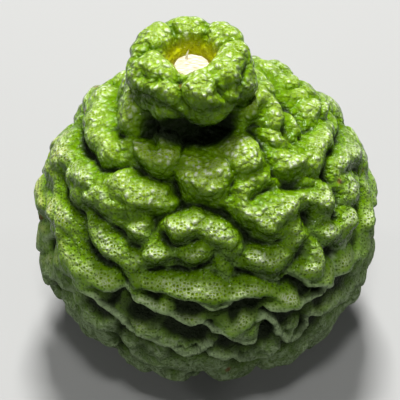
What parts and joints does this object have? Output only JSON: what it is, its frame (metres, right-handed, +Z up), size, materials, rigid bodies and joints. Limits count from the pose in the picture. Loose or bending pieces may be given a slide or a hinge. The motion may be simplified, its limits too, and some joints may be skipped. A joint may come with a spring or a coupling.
{
  "type": "bergamot orange",
  "caption": "Squat green citrus fruit with a deeply folded, warty rind and a ring-shaped collar round the hollow of its broken-off stalk.",
  "frame": {"origin": "centre of the underside, on the surface that the fruit stands on", "axes": "+Z up, from the blossom end to the stalk end; -Y is the front, the side that the picture shows"},
  "size_m": [0.0718, 0.0719, 0.0747],
  "materials": {
    "rind": "waxy, lightly glossy, dimpled with oil glands",
    "woody_stalk": "raw, torn fibres"
  },
  "bodies": {
    "root": {"fruit": "rind", "stalk_stub": "woody_stalk"}
  },
  "joints": []
}
